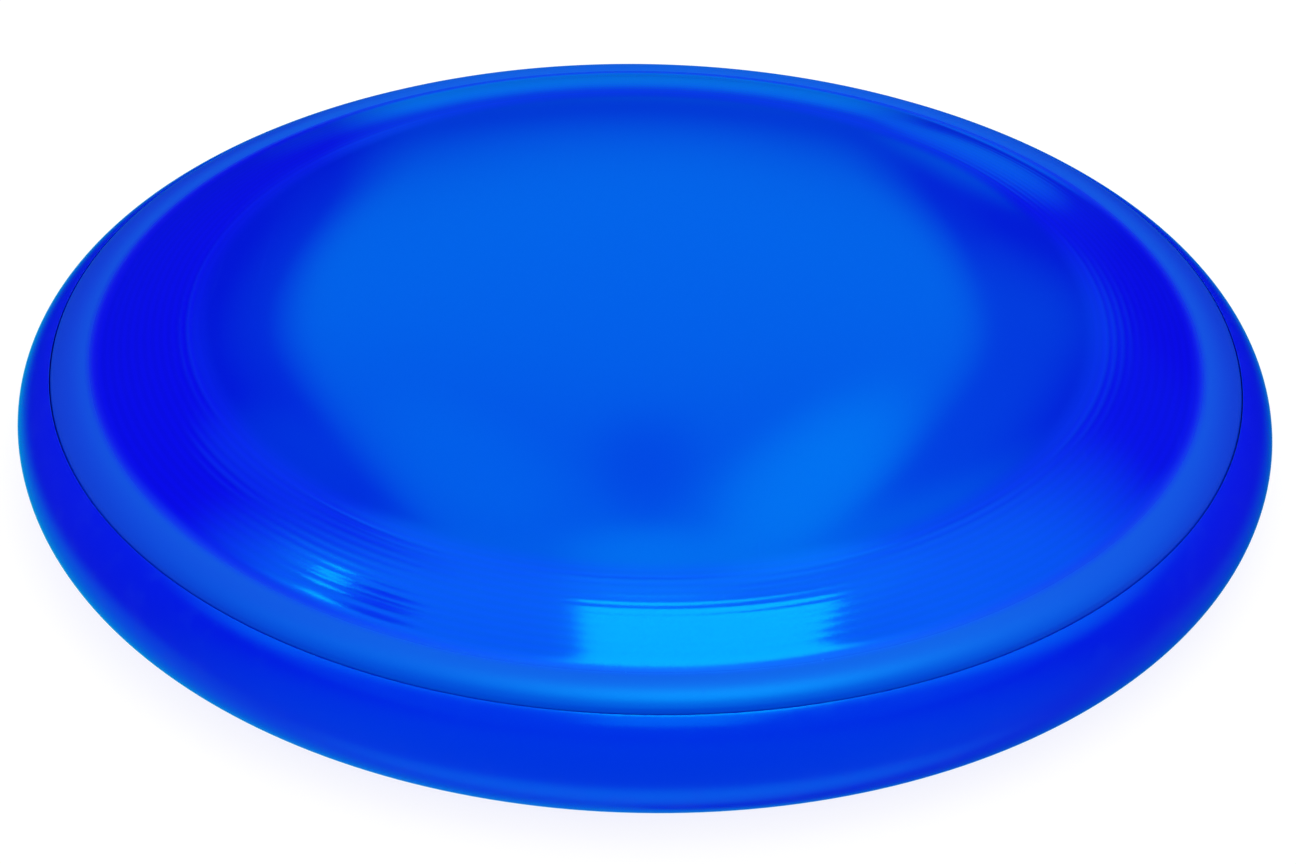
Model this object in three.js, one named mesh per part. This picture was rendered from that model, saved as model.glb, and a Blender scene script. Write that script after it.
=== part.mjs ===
// A sport-size flying disc, in millimetres, +Z up, origin at the centre of the plane it rests on.
//
// It comes apart into two mouldings. flight_plate is the stiff one: a shallow dome inside a ring of
// flight ridges, a smooth outer band, and a skirt that turns down inside the rim. grip_rim is the
// softer one moulded round it: it starts at the seam on the shoulder, covers the skirt, makes the
// lip that the disc rests on, and hooks over the skirt's beaded edge inside.
// Both are solids of revolution, so each is one closed outline of [radius, height] points.

import * as THREE from "three";

// ---- driving dimensions -----------------------------------------------------------------------

const SEGMENTS = 60; // facets round the disc

const disc = {
  radius: 136.5, // to the widest circle of the rim
  height: 32.0, // to the flat top of the dome
  widestHeight: 10.45, // height of the widest circle above the rest plane
};

const dome = {
  flatRadius: 24.0, // flat middle, where a label would go
  radius: 96.2, // to the soft bend that the flight ring starts from
  edgeHeight: 28.15,
  power: 3.0, // how late the dome starts to fall
};

const ring = {
  outerRadius: 118.9,
  outerHeight: 23.4,
  innerSlope: 0.09, // fall per millimetre outwards, just outside the dome
  ridges: 13,
  relief: 0.2, // groove to crest
};

const band = {
  innerSlope: 0.02, // nearly level beside the ring, then it rolls over towards the seam
  power: 3.8, // how late it starts to roll over
};

const seam = {
  innerRadius: 128.3, // the plate's edge of the open seam on the shoulder
  outerRadius: 129.0, // the rim's edge of it
  gap: 0.3, // clearance between the two mouldings inside
};

// The rim's outside is two quarter ellipses that meet at the widest circle.
const shoulder = { across: 12.5, up: 11.7 };
const belly = { across: 8.8, up: 10.7 };

const skin = 1.9; // thickness of the rim over the skirt
const plateWall = 1.9;
const skirt = {
  hollowRadius: 122.5, // where the skirt's inside meets the underside of the plate
  hollowAcross: 9.9,
  hollowUp: 8.9,
  edgeRadius: 131.95, // the middle of the bead that the skirt ends in
  edgeHeight: 5.2,
  beadRadius: 1.35,
};

const lip = {
  restRadius: 127.2, // inner edge of the flat that the disc rests on
  insideRadius: 125.4,
  roundHeight: 2.2, // the lip's inside is rounded up to here
  roundInset: 0.5, // how far its middle stays outside the inside radius
  topHeight: 4.4,
  topInset: 1.0, // how far the lip leans out by its top
};
const hook = { topHeight: 8.4, thickness: 1.1 };

const gate = { radius: 4.0, taper: 1.0, height: 0.5 }; // trimmed moulding gate under the middle

// ---- outline helpers ----------------------------------------------------------------------------

// Points of an ellipse arc between two angles in degrees: 0 points outwards and 90 points up.
function arc(centre, across, up, fromAngle, toAngle, steps) {
  const points = [];
  for (let i = 0; i <= steps; i += 1) {
    const angle = THREE.MathUtils.degToRad(fromAngle + ((toAngle - fromAngle) * i) / steps);
    points.push([centre[0] + across * Math.cos(angle), centre[1] + up * Math.sin(angle)]);
  }
  return points;
}

// The angle, in degrees, at which an ellipse has moved a given way along one of its half axes.
function angleOut(across, distance) {
  return THREE.MathUtils.radToDeg(Math.acos(distance / across));
}

function angleDown(up, distance) {
  return THREE.MathUtils.radToDeg(Math.asin(distance / up));
}

const shoulderCentre = [disc.radius - shoulder.across, disc.widestHeight];
const bellyCentre = [disc.radius - belly.across, disc.widestHeight];

// The disc's outside wall moved inwards by a distance, from a radius on the shoulder down to a height.
function outsideWall(inward, startRadius, endHeight, shoulderSteps, bellySteps) {
  const across = shoulder.across - inward;
  const start = angleOut(across, startRadius - shoulderCentre[0]);
  const end = angleDown(belly.up - inward, disc.widestHeight - endHeight);
  return [
    ...arc(shoulderCentre, across, shoulder.up - inward, start, 0, shoulderSteps),
    ...arc(bellyCentre, belly.across - inward, belly.up - inward, 0, -end, bellySteps).slice(1),
  ];
}

// Height of the disc's outside wall at a radius on its shoulder.
function shoulderHeight(radius) {
  const reach = (radius - shoulderCentre[0]) / shoulder.across;
  return disc.widestHeight + shoulder.up * Math.sqrt(1 - reach * reach);
}

// ---- top of the plate -------------------------------------------------------------------------------

function domeHeight(radius) {
  const reach = (radius - dome.flatRadius) / (dome.radius - dome.flatRadius);
  return disc.height - (disc.height - dome.edgeHeight) * reach ** dome.power;
}

// The steps get shorter outwards, where the dome bends most.
function domeTop(steps) {
  const points = [];
  for (let i = 0; i <= steps; i += 1) {
    const reach = Math.sin((Math.PI / 2) * (i / steps));
    const radius = dome.flatRadius + (dome.radius - dome.flatRadius) * reach;
    points.push([radius, domeHeight(radius)]);
  }
  return points;
}

// The ring falls faster and faster outwards, on a parabola from the dome to its outer edge.
function ringHeight(radius) {
  const out = radius - dome.radius;
  const width = ring.outerRadius - dome.radius;
  const extraFall = dome.edgeHeight - ring.outerHeight - ring.innerSlope * width;
  return dome.edgeHeight - ring.innerSlope * out - extraFall * (out / width) ** 2;
}

// The ridges stand side by side: a crest in the middle of each pitch and a groove between two.
function ringTop() {
  const pitch = (ring.outerRadius - dome.radius) / ring.ridges;
  const points = [];
  for (let i = 0; i < ring.ridges; i += 1) {
    const groove = dome.radius + i * pitch;
    const crest = groove + pitch / 2;
    if (i > 0) {
      points.push([groove, ringHeight(groove) - ring.relief]);
    }
    points.push([crest, ringHeight(crest)]);
  }
  return points;
}

// From the foot of the ring to the seam, the band falls faster and faster to meet the shoulder.
function bandTop(steps) {
  const width = seam.innerRadius - ring.outerRadius;
  const extraFall = ring.outerHeight - shoulderHeight(seam.innerRadius) - band.innerSlope * width;
  const points = [];
  for (let i = 0; i <= steps; i += 1) {
    const reach = i / steps;
    const fall = band.innerSlope * width * reach + extraFall * reach ** band.power;
    points.push([ring.outerRadius + width * reach, ring.outerHeight - fall]);
  }
  return points;
}

// ---- skirt, its bead and the hollow under the plate ---------------------------------------------------

const skirtInward = skin + seam.gap;
const skirtWidest = skirt.hollowRadius + skirt.hollowAcross;
const beadCentre = [skirt.edgeRadius, skirt.edgeHeight];

// The lower part of the skirt's inside, moved inwards by a clearance, up to a given height. It
// leaves the bead half a bead's radius above its middle.
function skirtLowerInside(clearance, topHeight, steps) {
  const across = skirtWidest - bellyCentre[0] - clearance;
  const up = belly.up - skirtInward - plateWall - clearance;
  const startHeight = skirt.edgeHeight + skirt.beadRadius / 2;
  const start = angleDown(up, disc.widestHeight - startHeight);
  const end = angleDown(up, disc.widestHeight - topHeight);
  return arc(bellyCentre, across, up, -start, -end, steps);
}

// The rounded edge of the skirt, a little fatter than its wall, so that it locks into the rim.
function bead(clearance) {
  const radius = skirt.beadRadius + clearance;
  return arc(beadCentre, radius, radius, 0, -180, 5);
}

function hollow(steps) {
  const centre = [skirt.hollowRadius, disc.widestHeight];
  return arc(centre, skirt.hollowAcross, skirt.hollowUp, 0, 90, steps).slice(1);
}

// The underside follows the top, one wall lower, without the ridges, in to the gate.
function underside() {
  const width = ring.outerRadius - dome.radius;
  const points = [];
  for (const reach of [0.8, 0.4, 0]) {
    const radius = dome.radius + width * reach;
    points.push([radius, ringHeight(radius) - plateWall]);
  }
  for (const [radius, height] of domeTop(5).reverse().slice(1)) {
    points.push([radius, height - plateWall]);
  }
  const height = disc.height - plateWall;
  points.push([gate.radius, height]);
  points.push([gate.radius - gate.taper, height - gate.height]);
  points.push([0, height - gate.height]);
  return points;
}

// ---- the two mouldings --------------------------------------------------------------------------------

function plateOutline() {
  return [
    [0, disc.height],
    ...domeTop(7),
    ...ringTop(),
    ...bandTop(5),
    ...outsideWall(skirtInward, seam.innerRadius, skirt.edgeHeight, 5, 3),
    ...bead(0),
    ...skirtLowerInside(0, disc.widestHeight, 3),
    ...hollow(5),
    ...underside(),
  ];
}

// The lip's inside runs down from the tip of the hook to the flat that the disc rests on.
function lipInside(hookTip) {
  return [
    [hookTip[0] - hook.thickness, hookTip[1]],
    [lip.insideRadius + lip.topInset, lip.topHeight],
    [lip.insideRadius, lip.roundHeight],
    [lip.insideRadius + lip.roundInset, lip.roundHeight / 3],
    [lip.restRadius, 0],
  ];
}

// The outside wall down to the rest plane, back up inside the lip, then the groove for the skirt.
function rimOutline() {
  const outside = outsideWall(0, seam.outerRadius, 0, 8, 7);
  const groove = [
    ...outsideWall(skin, seam.outerRadius, skirt.edgeHeight, 5, 3),
    ...bead(seam.gap),
    ...skirtLowerInside(seam.gap, hook.topHeight, 2),
  ];
  const hookTip = groove[groove.length - 1];
  return [...outside, ...lipInside(hookTip).reverse(), ...groove.reverse(), outside[0]];
}

// ---- assembly -------------------------------------------------------------------------------------------

// LatheGeometry turns its outline round +Y, so the solid is then stood up on +Z. It faces outwards
// when the outline runs the other way from these ones, which go out over the top and back below.
function turned(name, outline, material) {
  const points = outline.map(([radius, height]) => new THREE.Vector2(radius, height));
  const geometry = new THREE.LatheGeometry(points.reverse(), SEGMENTS);
  geometry.rotateX(Math.PI / 2);
  const mesh = new THREE.Mesh(geometry, material);
  mesh.name = name;
  return mesh;
}

const plateMaterial = new THREE.MeshStandardMaterial({ color: 0x0a28e6, roughness: 0.18, metalness: 0 });
const rimMaterial = new THREE.MeshStandardMaterial({ color: 0x081edc, roughness: 0.26, metalness: 0 });

const group = new THREE.Group();
group.add(turned("flight_plate", plateOutline(), plateMaterial));
group.add(turned("grip_rim", rimOutline(), rimMaterial));

export default group;
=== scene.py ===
"""Looks of the flying disc: two turned mouldings in glossy blue plastic, in a pale studio."""

import math

import bpy
from mathutils import Matrix, Vector, noise


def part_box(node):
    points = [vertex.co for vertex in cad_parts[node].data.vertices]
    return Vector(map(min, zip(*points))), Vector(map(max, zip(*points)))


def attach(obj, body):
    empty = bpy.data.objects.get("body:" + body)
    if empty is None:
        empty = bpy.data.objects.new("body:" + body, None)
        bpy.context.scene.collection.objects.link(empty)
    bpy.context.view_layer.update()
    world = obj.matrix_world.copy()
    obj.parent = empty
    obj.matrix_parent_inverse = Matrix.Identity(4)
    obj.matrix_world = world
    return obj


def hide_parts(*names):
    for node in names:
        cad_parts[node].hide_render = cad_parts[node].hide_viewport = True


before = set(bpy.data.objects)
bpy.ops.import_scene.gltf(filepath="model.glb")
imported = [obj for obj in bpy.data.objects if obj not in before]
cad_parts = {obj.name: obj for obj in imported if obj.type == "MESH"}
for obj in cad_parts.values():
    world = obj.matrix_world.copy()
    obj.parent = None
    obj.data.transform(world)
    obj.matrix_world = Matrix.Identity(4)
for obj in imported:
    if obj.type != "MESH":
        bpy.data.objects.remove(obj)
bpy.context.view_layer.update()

# ---- sizes, in metres -----------------------------------------------------------------------------

MM = 0.001
SEGMENTS = 288  # facets round each moulding
ON_AXIS = 1e-7  # a point this near the axis is one shared vertex

disc_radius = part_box("grip_rim")[1].x
disc_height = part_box("flight_plate")[1].z

widest_height = 10.45 * MM  # the rim's widest circle, above the floor

dome_flat_radius = 24.0 * MM
dome_radius = 96.2 * MM
dome_edge_height = 28.15 * MM
dome_power = 3.0  # how late the dome starts to fall

ring_outer_radius = 118.9 * MM
ring_outer_height = 23.4 * MM
ring_inner_slope = 0.09  # fall per metre outwards, just outside the dome
ridge_count = 13
ridge_relief = 0.012 * MM
ring_softness = 2.4 * MM  # how far back the bends at the ring's two edges are rounded

band_inner_slope = 0.02
band_power = 3.8  # how late the band rolls over towards the seam

seam_radius = 128.65 * MM
seam_width = 0.16 * MM
seam_softness = 0.8 * MM  # rounding of the plate's edge at the seam
seam_rim_softness = 0.12 * MM  # the rim's edge stays crisp
seam_gap = 0.3 * MM  # between the two mouldings inside

shoulder_across, shoulder_up = 12.5 * MM, 11.7 * MM
belly_across, belly_up = 8.8 * MM, 10.7 * MM

skin = 1.9 * MM
plate_wall = 1.9 * MM
hollow_radius = 122.5 * MM
hollow_across, hollow_up = 9.9 * MM, 8.9 * MM
skirt_edge_height = 5.2 * MM
bead_radius = 1.35 * MM
bead_centre_radius = 131.95 * MM
hollow_end_radius = 114.9 * MM  # where the hollow meets the underside of the ring

lip_rest_radius = 127.2 * MM
lip_inside_radius = 125.4 * MM
lip_corner_height = 0.2 * MM
lip_top_height = 4.4 * MM
hook_top_height = 8.4 * MM
hook_thickness = 1.1 * MM

# How far back each corner of the rim is rounded, from the outside in under the lip to the hook.
foot_outside_softness = 0.8 * MM
foot_inside_softness = 0.5 * MM
lip_corner_softness = 1.1 * MM
lip_top_softness = 1.6 * MM
hook_corner_softness = 0.4 * MM
hook_tip_softness = 0.2 * MM

# The trimmed moulding gate stands down from a small flat under the middle.
gate_flat_radius = 6.0 * MM
gate_radius = 4.0 * MM
gate_tip_radius = 3.2 * MM
gate_height = 0.5 * MM

waviness = 0.09 * MM  # slow unevenness of the moulded dome
waviness_scale = 22.0  # waves per metre
waviness_slice = 0.37  # which slice of the noise the dome takes
waviness_fade = 0.7  # below 1, the waves stay strong until close to the dome's edge

# ---- outlines: lists of (radius, height) ------------------------------------------------------------

shoulder_centre = Vector((disc_radius - shoulder_across, widest_height))
belly_centre = Vector((disc_radius - belly_across, widest_height))


def arc(centre, across, up, start, end, steps):
    """Points of an ellipse arc between two angles in radians: 0 is outwards and pi/2 is up."""
    angles = [start + (end - start) * i / steps for i in range(steps + 1)]
    return [centre + Vector((across * math.cos(a), up * math.sin(a))) for a in angles]


def graph(height_at, start, end, steps):
    """Points of a height given as a function of the radius."""
    radii = [start + (end - start) * i / steps for i in range(steps + 1)]
    return [Vector((r, height_at(r))) for r in radii]


def cut_from_start(points, length):
    """The outline with its first stretch of that length cut off."""
    left = length
    for i in range(len(points) - 1):
        step = (points[i + 1] - points[i]).length
        if step > left:
            return [points[i].lerp(points[i + 1], left / step)] + points[i + 1:]
        left -= step
    return points[-1:]


def cut_from_end(points, length):
    return cut_from_start(points[::-1], length)[::-1]


def rounded_corner(before, corner, after, steps=5):
    """A quadratic curve that leaves and meets the outline smoothly and cuts its corner off."""
    turns = [i / (steps + 1) for i in range(1, steps + 1)]
    return [before.lerp(corner, t).lerp(corner.lerp(after, t), t) for t in turns]


def joined(stretches_and_corners, closed):
    """Joins stretches end to end. Each comes with how far back its last corner is rounded."""
    stretches = [points for points, _ in stretches_and_corners]
    corners = [softness for _, softness in stretches_and_corners]
    cut = []
    for i, points in enumerate(stretches):
        shorter = cut_from_start(points, corners[i - 1]) if corners[i - 1] else points
        cut.append(cut_from_end(shorter, corners[i]) if corners[i] else shorter)
    outline = []
    for i, points in enumerate(cut):
        outline += points
        if corners[i]:
            following = cut[(i + 1) % len(cut)]
            outline += rounded_corner(points[-1], stretches[i][-1], following[0])
        elif closed or i < len(cut) - 1:
            outline.pop()
    return outline


def outside_wall(inward, start_radius, end_height, steps):
    """The disc's outside moved inwards, from a radius on the shoulder down to a height."""
    start = math.acos((start_radius - shoulder_centre.x) / (shoulder_across - inward))
    end = math.asin((widest_height - end_height) / (belly_up - inward))
    upper = arc(shoulder_centre, shoulder_across - inward, shoulder_up - inward, start, 0, steps)
    lower = arc(belly_centre, belly_across - inward, belly_up - inward, 0, -end, steps)
    return upper + lower[1:]


def shoulder_height(radius):
    reach = (radius - shoulder_centre.x) / shoulder_across
    return widest_height + shoulder_up * math.sqrt(1 - reach ** 2)


def dome_height(radius):
    reach = max(0, radius - dome_flat_radius) / (dome_radius - dome_flat_radius)
    return disc_height - (disc_height - dome_edge_height) * reach ** dome_power


def ring_height(radius):
    """The ring without its ridges."""
    width = ring_outer_radius - dome_radius
    out = (radius - dome_radius) / width
    extra_fall = dome_edge_height - ring_outer_height - ring_inner_slope * width
    return dome_edge_height - ring_inner_slope * width * out - extra_fall * out ** 2


def ridged_height(radius):
    """Rounded crests side by side, level with the dome and the band at the ring's two edges."""
    out = (radius - dome_radius) / (ring_outer_radius - dome_radius)
    depth = (1 - math.cos(2 * math.pi * ridge_count * out)) / 2
    return ring_height(radius) - ridge_relief * depth


def band_height(radius):
    width = seam_radius - ring_outer_radius
    out = (radius - ring_outer_radius) / width
    extra_fall = ring_outer_height - shoulder_height(seam_radius) - band_inner_slope * width
    return ring_outer_height - band_inner_slope * width * out - extra_fall * out ** band_power


def skirt_lower_inside(clearance, top_height, steps):
    across = hollow_radius + hollow_across - belly_centre.x - clearance
    up = belly_up - skin - seam_gap - plate_wall - clearance
    start = math.asin((widest_height - skirt_edge_height - bead_radius / 2) / up)
    end = math.asin((widest_height - top_height) / up)
    return arc(belly_centre, across, up, -start, -end, steps)


def bead(clearance):
    centre = Vector((bead_centre_radius, skirt_edge_height))
    radius = bead_radius + clearance
    return arc(centre, radius, radius, 0, -math.pi, steps=12)


def underside():
    """From the hollow in to the gate, one wall below the top and without the ridges."""
    ring_part = graph(lambda r: ring_height(r) - plate_wall, hollow_end_radius, dome_radius, steps=10)
    dome_part = graph(lambda r: dome_height(r) - plate_wall, dome_radius, gate_flat_radius, steps=40)
    return ring_part + dome_part[1:]


def plate_outline():
    under = disc_height - plate_wall
    edge = seam_radius - seam_width / 2
    dome_top = [Vector((0, disc_height))]
    dome_top += graph(dome_height, dome_flat_radius, dome_radius, steps=48)
    ring_top = graph(ridged_height, dome_radius, ring_outer_radius, steps=ridge_count * 10)
    band = graph(band_height, ring_outer_radius, edge, steps=24)
    wall = outside_wall(skin + seam_gap, edge, skirt_edge_height, steps=10)
    inside = skirt_lower_inside(0, widest_height, steps=6)
    hollow_centre = Vector((hollow_radius, widest_height))
    inside += arc(hollow_centre, hollow_across, hollow_up, 0, math.pi / 2, steps=20)[1:]
    gate = [
        Vector((gate_flat_radius, under)),
        Vector((gate_radius, under)),
        Vector((gate_tip_radius, under - gate_height)),
        Vector((0, under - gate_height)),
    ]
    stretches_and_corners = [
        (dome_top, ring_softness),
        (ring_top, ring_softness),
        (band, seam_softness),
        ([band[-1], wall[0]], 0),
        (wall + bead(0) + inside, 0),
        (underside(), 0),
        (gate, 0),
    ]
    return joined(stretches_and_corners, closed=False)


def rim_outline():
    edge = seam_radius + seam_width / 2
    outside = outside_wall(0, edge, 0, steps=32)
    lip_edge = Vector((lip_rest_radius, 0))
    lip_corner = Vector((lip_inside_radius, lip_corner_height))
    lip_top = Vector((lip_inside_radius, lip_top_height))
    groove = outside_wall(skin, edge, skirt_edge_height, steps=10)
    groove += bead(seam_gap) + skirt_lower_inside(seam_gap, hook_top_height, steps=5)
    hook_tip = groove[-1]
    hook_corner = Vector((hook_tip.x - hook_thickness, hook_tip.y))
    stretches_and_corners = [
        (outside, foot_outside_softness),
        ([outside[-1], lip_edge], foot_inside_softness),
        ([lip_edge, lip_corner], lip_corner_softness),
        ([lip_corner, lip_top], lip_top_softness),
        ([lip_top, hook_corner], hook_corner_softness),
        ([hook_corner, hook_tip], hook_tip_softness),
        (groove[::-1], 0),
        ([groove[0], outside[0]], seam_rim_softness),
    ]
    return joined(stretches_and_corners, closed=True)


def turned(name, outline, closed, lift=None):
    """A solid of revolution from an outline. lift(point) moves the surface up or down slightly."""
    verts = []
    rings = []
    for point in outline:
        if point.x < ON_AXIS:
            rings.append([len(verts)])
            verts.append(Vector((0, 0, point.y)))
            continue
        rings.append(list(range(len(verts), len(verts) + SEGMENTS)))
        for k in range(SEGMENTS):
            angle = 2 * math.pi * k / SEGMENTS
            verts.append(Vector((point.x * math.cos(angle), point.x * math.sin(angle), point.y)))
    if lift:
        verts = [v + Vector((0, 0, lift(v))) for v in verts]
    faces = []
    pairs = list(zip(rings, rings[1:]))
    if closed:
        pairs.append((rings[-1], rings[0]))
    for inner, outer in pairs:
        for k in range(SEGMENTS):
            following = (k + 1) % SEGMENTS
            if len(inner) == 1:
                faces.append((inner[0], outer[k], outer[following]))
            elif len(outer) == 1:
                faces.append((inner[k], outer[0], inner[following]))
            else:
                faces.append((inner[k], outer[k], outer[following], inner[following]))
    mesh = bpy.data.meshes.new(name)
    mesh.from_pydata(verts, [], faces)
    mesh.shade_smooth()
    mesh.update()
    piece = bpy.data.objects.new(name, mesh)
    bpy.context.scene.collection.objects.link(piece)
    return piece


def dome_waves(point):
    """Unevenness that only sinks the dome, and fades out towards its edge and its middle."""
    radius = math.hypot(point.x, point.y)
    if radius >= dome_radius:
        return 0
    fade = math.sin(math.pi * radius / dome_radius) ** waviness_fade
    wave = noise.noise(Vector((point.x, point.y, waviness_slice)) * waviness_scale)
    return -waviness * fade * (0.5 + 0.5 * wave)


# ---- materials ----------------------------------------------------------------------------------------


class Nodes:
    """A node tree, with one short call for each kind of node used here."""

    def __init__(self, tree):
        self.tree = tree

    def add(self, kind):
        return self.tree.nodes.new("ShaderNode" + kind)

    def feed(self, value, socket):
        """Links a socket to another one, or sets it to a plain value."""
        if isinstance(value, bpy.types.NodeSocket):
            self.tree.links.new(value, socket)
        else:
            socket.default_value = value

    def math(self, operation, first, second=0.0):
        node = self.add("Math")
        node.operation = operation
        self.feed(first, node.inputs[0])
        self.feed(second, node.inputs[1])
        return node.outputs[0]

    def total(self, *values):
        result = values[0]
        for value in values[1:]:
            result = self.math("ADD", result, value)
        return result

    def times(self, *values):
        result = values[0]
        for value in values[1:]:
            result = self.math("MULTIPLY", result, value)
        return result

    def brightest(self, *values):
        result = values[0]
        for value in values[1:]:
            result = self.math("MAXIMUM", result, value)
        return result

    def step(self, value, low, high, at_low=0.0, at_high=1.0):
        """A smooth step between two values, level beyond both."""
        node = self.add("MapRange")
        node.interpolation_type = "SMOOTHSTEP"
        for socket, number in zip(node.inputs, (value, low, high, at_low, at_high)):
            self.feed(number, socket)
        return node.outputs[0]


class Shader(Nodes):
    """A material built on one Principled surface."""

    def __init__(self, name):
        self.material = bpy.data.materials.new(name)
        self.material.use_nodes = True
        super().__init__(self.material.node_tree)
        self.surface = self.tree.nodes["Principled BSDF"]
        self.place = self.add("TexCoord").outputs["Object"]
        separate = self.add("SeparateXYZ")
        self.feed(self.place, separate.inputs[0])
        x, y, self.height = separate.outputs
        self.radius = self.math("SQRT", self.total(self.times(x, x), self.times(y, y)))

    def set(self, **values):
        """Feeds the surface's sockets; Base_Color stands for the socket Base Color."""
        for name, value in values.items():
            self.feed(value, self.surface.inputs[name.replace("_", " ")])

    def noise(self, scale, detail=2.0, place=None):
        node = self.add("TexNoise")
        self.feed(place or self.place, node.inputs["Vector"])
        node.inputs["Scale"].default_value = scale
        node.inputs["Detail"].default_value = detail
        return node.outputs["Fac"]

    def blend(self, factor, first, second):
        node = self.add("MixRGB")
        for socket, value in zip(node.inputs, (factor, first, second)):
            self.feed(value, socket)
        return node.outputs[0]

    def bump(self, height, distance, below=None):
        node = self.add("Bump")
        node.inputs["Distance"].default_value = distance
        self.feed(height, node.inputs["Height"])
        if below:
            self.feed(below, node.inputs["Normal"])
        return node.outputs[0]

    def outside_of(self, radius, inwards, outwards):
        """0 inside a radius and 1 outside it, changing between two distances from it."""
        return self.step(self.radius, radius - inwards, radius + outwards)

    def scratches(self, turn):
        """Thin broken lines in one direction: very stretched noise, cut by a coarse one."""
        stretched = self.add("Mapping")
        self.feed(self.place, stretched.inputs["Vector"])
        stretched.inputs["Scale"].default_value = scratch_stretch
        stretched.inputs["Rotation"].default_value = (0, 0, turn)
        line = self.step(self.noise(1.0, 1.0, stretched.outputs[0]), 0.70, 0.76)
        patch = self.step(self.noise(scratch_patch_scale), 0.50, 0.66)
        return self.times(line, patch)


dome_blue = (0.0, 0.004, 0.66, 1)
ring_blue = (0.002, 0.0, 0.78, 1)
# The band is blue plastic; its greener tint is a painted reflection of its satin sheen.
band_blue_with_painted_sheen = (0.0, 0.034, 0.64, 1)
rim_blue = (0.0, 0.002, 0.76, 1)
deep_blue = (0.0, 0.0, 0.62, 1)
scuffed_blue = (0.002, 0.03, 0.80, 1)
reflection_tint = (0.0, 0.95, 1.0, 1)
reflected_colour = (0.0, 1.0, 1.0, 1)  # the plastic shows no red in its reflections
white = (1.0, 1.0, 1.0, 1)

gloss = 0.08  # roughness of the dome and the ring
band_roughening = 0.25  # added to it on the band
satin = 0.17  # roughness of the rim
lip_roughening = 0.12
speckle_roughening = 0.04
cloud_roughening = 0.03
mark_roughening = 0.03

mottling = 0.10  # how far the colour drifts towards deep blue in clouds
ridge_painted_shade = 0.25  # and how far painted shade darkens it on the crests of the ring, for the light and shade of the ridges
mark_fading = 0.05  # how far scratches pale the colour
lip_fading = 0.25

# Scales are in features per metre. Depths are in metres.
cloud_scale = 16.0
speckle_scale = 260.0
peel_scale = 420.0
plate_peel_depth = 0.0025 * MM
rim_peel_depth = 0.004 * MM
scratch_stretch = (900, 14, 900)
scratch_turns = (0.5, 2.1)  # radians
scratch_patch_scale = 30.0
scratch_depth = 0.001 * MM


def moulded_plastic(name, colour_of, roughness_of, peel_depth):
    """Glossy moulded polyethylene. colour_of and roughness_of give each zone its own look."""
    shader = Shader(name)
    shader.set(IOR=1.5, Specular_Tint=reflection_tint)
    cloud = shader.noise(cloud_scale, 3.0)
    marks = shader.brightest(*[shader.scratches(turn) for turn in scratch_turns])
    drift = shader.step(cloud, 0.35, 0.70, 0.0, mottling)
    mottled = shader.blend(drift, colour_of(shader), deep_blue)
    shader.set(Base_Color=shader.blend(shader.times(marks, mark_fading), mottled, scuffed_blue))
    cloudy = shader.times(cloud, cloud_roughening)
    marked = shader.times(marks, mark_roughening)
    shader.set(Roughness=shader.total(roughness_of(shader), shader.total(cloudy, marked)))
    peel = shader.bump(shader.noise(peel_scale), peel_depth)
    shader.set(Normal=shader.bump(shader.times(marks, -1.0), scratch_depth, peel))
    return shader.material


def painted_ridge_shade(shader):
    """Where shade is painted along the flight ring: 1 on its crests, and 0 in its grooves and everywhere
    else.
    """
    width = ring_outer_radius - dome_radius
    out = shader.times(shader.math("SUBTRACT", shader.radius, dome_radius), 1 / width)
    wave = shader.math("COSINE", shader.times(out, 2 * math.pi * ridge_count))
    on_ring = shader.times(shader.step(out, 0.0, 0.02), shader.step(out, 0.98, 1.0, 1.0, 0.0))
    return shader.times(shader.step(wave, -1.0, 1.0), on_ring)


def plate_colour(shader):
    on_ring = shader.outside_of(dome_radius, 2 * MM, 3 * MM)
    on_band = shader.outside_of(ring_outer_radius, -0.2 * MM, 2.8 * MM)
    colour = shader.blend(on_ring, dome_blue, ring_blue)
    # Painted shade: the ring's crests are darkened towards deep blue, for the light and shade of the
    # ridges.
    colour = shader.blend(shader.times(painted_ridge_shade(shader), ridge_painted_shade), colour, deep_blue)
    # On the band the colour turns greener, a painted reflection of its satin sheen.
    return shader.blend(on_band, colour, band_blue_with_painted_sheen)


def plate_roughness(shader):
    """Glossy dome and ring, satin band."""
    on_band = shader.outside_of(ring_outer_radius, 1.6 * MM, 3 * MM)
    return shader.total(shader.times(on_band, band_roughening), gloss)


def rim_colour(shader):
    """A little paler on the lip, which lands and rubs."""
    rubbed = shader.step(shader.height, 0.5 * MM, 4.0 * MM, lip_fading, 0.0)
    return shader.blend(rubbed, rim_blue, scuffed_blue)


def rim_roughness(shader):
    """Satin, rougher under the lip, with a fine speckle all over."""
    under_lip = shader.step(shader.height, 1.0 * MM, 6.0 * MM, lip_roughening, 0.0)
    speckle = shader.step(shader.noise(speckle_scale, 4.0), 0.52, 0.66, 0.0, speckle_roughening)
    return shader.total(under_lip, speckle, satin)


# ---- studio ---------------------------------------------------------------------------------------------

# Places and sizes are in metres. A plain white background has brightness 1.
EVEN_LIGHT = 0.92  # brightness of the soft light from all round

floor_half_width = 4.0
floor_grey = 0.18
floor_glow = 0.85

camera_elevation = math.radians(34.12)
camera_lean = math.radians(1.28)
camera_distance = 3.67 * disc_radius
camera_target = Vector((0.0046, 0, -0.0659)) * disc_radius
camera_lens = 61.5  # focal length in millimetres
camera_film = 36.0  # width in millimetres


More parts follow.
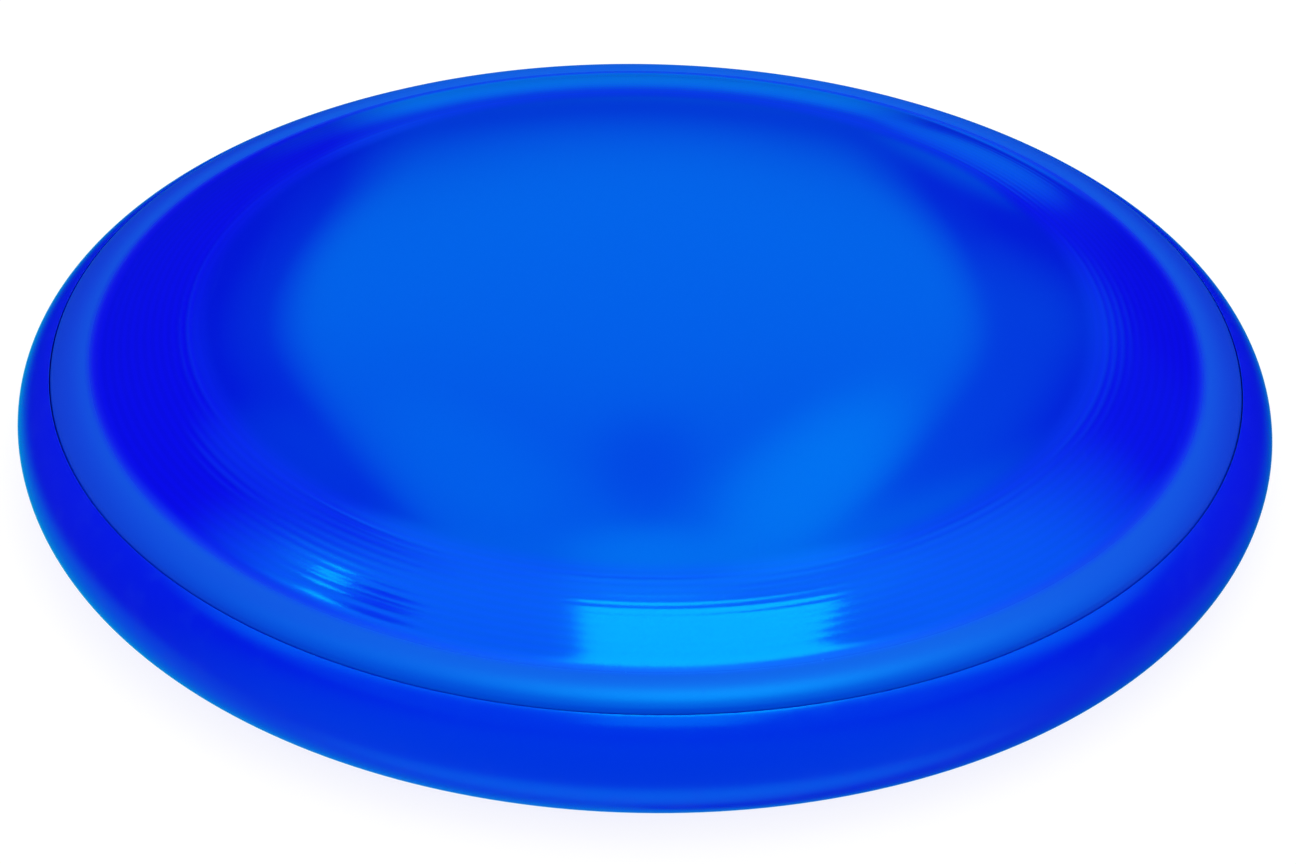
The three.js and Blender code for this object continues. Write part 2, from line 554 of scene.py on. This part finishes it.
def studio_floor():
    """Pale paper that glows a little, so that the shadow on it stays light."""
    half = floor_half_width
    mesh = bpy.data.meshes.new("studio_floor")
    corners = [(-half, -half, 0), (half, -half, 0), (half, half, 0), (-half, half, 0)]
    mesh.from_pydata(corners, [], [(0, 1, 2, 3)])
    floor = bpy.data.objects.new("studio_floor", mesh)
    bpy.context.scene.collection.objects.link(floor)
    shader = Shader("studio_floor_paper")
    grey = (floor_grey, floor_grey, floor_grey, 1)
    shader.set(Base_Color=grey, Roughness=0.9, Specular_IOR_Level=0.0)
    shader.set(Emission_Color=white, Emission_Strength=floor_glow)
    mesh.materials.append(shader.material)
    floor.visible_glossy = False


def studio_camera():
    """Looks north and down at the disc, and leans a little to one side."""
    backwards = Vector((0, -math.cos(camera_elevation), math.sin(camera_elevation)))
    place = backwards * camera_distance
    forward = (camera_target - place).normalized()
    right = forward.cross(Vector((0, 0, 1))).normalized()
    up = right.cross(forward)
    leaning_right = right * math.cos(camera_lean) + up * math.sin(camera_lean)
    leaning_up = up * math.cos(camera_lean) - right * math.sin(camera_lean)
    turn = Matrix((leaning_right, leaning_up, -forward)).transposed()
    data = bpy.data.cameras.new("studio_camera")
    data.sensor_width = camera_film
    data.lens = camera_lens
    data.clip_start = 0.01
    camera = bpy.data.objects.new("studio_camera", data)
    camera.matrix_world = Matrix.Translation(place) @ turn.to_4x4()
    bpy.context.scene.collection.objects.link(camera)
    bpy.context.scene.camera = camera


def lamp(name, kind, seen_by):
    """A lamp that no camera ray sees, and that lights only diffuse or only glossy rays."""
    light = bpy.data.objects.new(name, bpy.data.lights.new(name, kind))
    light.visible_camera = False
    light.visible_diffuse = seen_by == "diffuse"
    light.visible_glossy = seen_by == "glossy"
    bpy.context.scene.collection.objects.link(light)
    return light


def softbox(name, centre, size, brightness, seen_by="glossy"):
    """A rectangular lamp that looks straight down."""
    light = lamp(name, "AREA", seen_by)
    light.location = centre
    width, depth = size
    light.data.shape = "RECTANGLE"
    light.data.size = width
    light.data.size_y = depth
    light.data.energy = brightness * width * depth * math.pi
    light.data.color = (reflected_colour if seen_by == "glossy" else white)[:3]


def even_sky():
    """Even white light from every direction above, which no reflection shows."""
    light = lamp("even_sky", "SUN", seen_by="diffuse")
    light.data.angle = math.pi
    light.data.energy = EVEN_LIGHT * math.pi


class Surroundings(Nodes):
    """The world's nodes. Azimuth runs clockwise from north; it and elevation are in degrees."""

    def __init__(self, tree):
        super().__init__(tree)
        direction = self.add("SeparateXYZ")
        self.feed(self.add("TexCoord").outputs["Generated"], direction.inputs[0])
        east, self.north, up = direction.outputs
        self.azimuth = self.times(self.math("ARCTAN2", east, self.north), 180 / math.pi)
        self.elevation = self.times(self.math("ARCSINE", up), 180 / math.pi)

    def by_azimuth(self, *numbers):
        return self.step(self.azimuth, *numbers)

    def by_elevation(self, *numbers):
        return self.step(self.elevation, *numbers)

    def patch(self, azimuth, elevation, half_width, half_height):
        """1 in the middle of an oval patch of the surroundings, fading to 0 at its edge."""
        across = self.times(self.math("SUBTRACT", self.azimuth, azimuth), 1 / half_width)
        along = self.times(self.math("SUBTRACT", self.elevation, elevation), 1 / half_height)
        out = self.total(self.times(across, across), self.times(along, along))
        return self.step(out, 0, 1, 1, 0)


# Azimuth, elevation, half width and half height in degrees, then the brightness that is added.
# The notes say where the disc shows each patch in the main view.
reflected_patches = [
    (10, 46, 7, 12, 1.5),  # near right of the dome
    (-10, 44, 7, 8, 0.4),  # near left of the dome
    (1, 56, 10, 7, 1.1),  # middle of the dome's near edge
    (20, 57, 10, 8, 0.4),  # near right of the ring
    (0, 44, 3.5, 9, -0.45),  # the dark hill between the dome's two near patches
    (14, 10, 6, 10, 0.45),  # far right of the ring
    (-25, 43, 8, 7, 0.35),  # near left of the dome's edge
    (-35, 55, 7, 5, 0.8),  # round the reflection of the small window, near left on the ring
    (-37, 61, 6, 4, -1.9),  # the dark spot beside that
]


def bright_end(world):
    """A backdrop north of the disc that runs up into a wide bright ceiling."""
    level = world.total(
        world.by_elevation(-8, 2, -0.25, 0.0),
        world.by_elevation(5, 11, 0.35, 0.0),
        world.by_elevation(12, 33, 0.20, 1.52),
        world.by_elevation(40, 62, 0.0, 1.0),
    )
    off_axis = world.math("ABSOLUTE", world.total(world.azimuth, 1.0))
    beyond = world.math("SUBTRACT", off_axis, world.by_elevation(20, 34, 11, 17))
    edge = world.step(beyond, -3, 3, 1.0, 0.0)
    fringe = world.step(beyond, 2, 8, 0.16, 0.0)
    lifted = world.total(world.elevation, world.by_azimuth(0, 26, 0, 9))
    ceiling = world.step(lifted, 43, 58)
    in_front = world.step(world.north, -0.05, 0.22, 0.3, 1.0)
    return world.times(level, world.brightest(edge, fringe, ceiling), in_front)


def right_wall(world):
    """A dimmer wall beside the backdrop, brighter higher up."""
    across = world.times(world.by_azimuth(8, 16), world.by_azimuth(19, 27, 1.0, 0.12))
    low = world.by_elevation(21, 30, 0.05, 0.50)
    high = world.by_elevation(30, 52, 0.0, 0.5)
    return world.times(across, world.total(low, high))


def lit_floor(world):
    """The floor's light on the disc's outer edge, darker on the right."""
    return world.times(world.by_elevation(-25, 0, 0.56, 0.03), world.by_azimuth(0, 50, 1.0, 0.35))


def behind_camera(world):
    """Light from the south, strongest from far below."""
    glow = world.by_elevation(-55, -25, 2.4, 0.9)
    return world.times(world.step(world.north, -0.85, 0.05, 1.0, 0.0), glow)


def reflected_studio(world):
    """How bright the studio is in each direction, as the glossy plastic shows it."""
    bright = world.brightest(
        bright_end(world),
        right_wall(world),
        lit_floor(world),
        behind_camera(world),
    )
    for *oval, brightness in reflected_patches:
        bright = world.total(bright, world.times(world.patch(*oval), brightness))
    return bright


def studio_world():
    """White to the camera, the studio to glossy rays, and soft light from below to the rest."""
    data = bpy.data.worlds.new("studio")
    bpy.context.scene.world = data
    data.use_nodes = True
    world = Surroundings(data.node_tree)

    def background(colour, strength):
        node = world.add("Background")
        world.feed(colour, node.inputs["Color"])
        world.feed(strength, node.inputs["Strength"])
        return node.outputs[0]

    def choose(condition, otherwise, chosen):
        node = world.add("MixShader")
        for socket, value in zip(node.inputs, (condition, otherwise, chosen)):
            world.feed(value, socket)
        return node.outputs[0]

    ray = world.add("LightPath").outputs
    reflected = background(reflected_colour, reflected_studio(world))
    from_below = background(white, world.by_elevation(-1, 1, EVEN_LIGHT, 0.0))
    seen = choose(ray["Is Glossy Ray"], from_below, reflected)
    seen = choose(ray["Is Camera Ray"], seen, background(white, 1.0))
    world.feed(seen, data.node_tree.nodes["World Output"].inputs["Surface"])


studio_floor()
studio_camera()
studio_world()
even_sky()
softbox("key", centre=(0.10, 0.35, 1.1), size=(0.9, 0.9), brightness=1.6, seen_by="diffuse")
softbox("window", centre=(0.0895, 0.190, 1.0), size=(0.339, 0.48), brightness=8.0)
softbox("window_sill", centre=(0.065, -0.250, 1.0), size=(0.29, 0.26), brightness=2.2)
softbox("small_window", centre=(-0.449, 0.414, 1.0), size=(0.06, 0.06), brightness=8.0)

# ---- pieces ---------------------------------------------------------------------------------------------

plate = turned("flight_plate_moulding", plate_outline(), closed=False, lift=dome_waves)
plate_plastic = moulded_plastic("plate_blue_plastic", plate_colour, plate_roughness, plate_peel_depth)
plate.data.materials.append(plate_plastic)
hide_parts("flight_plate")

rim = turned("grip_rim_moulding", rim_outline(), closed=True)
rim_plastic = moulded_plastic("rim_blue_plastic", rim_colour, rim_roughness, rim_peel_depth)
rim.data.materials.append(rim_plastic)
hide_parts("grip_rim")

for piece in (plate, rim):
    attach(piece, "root")

bpy.context.scene.view_settings.view_transform = "Standard"
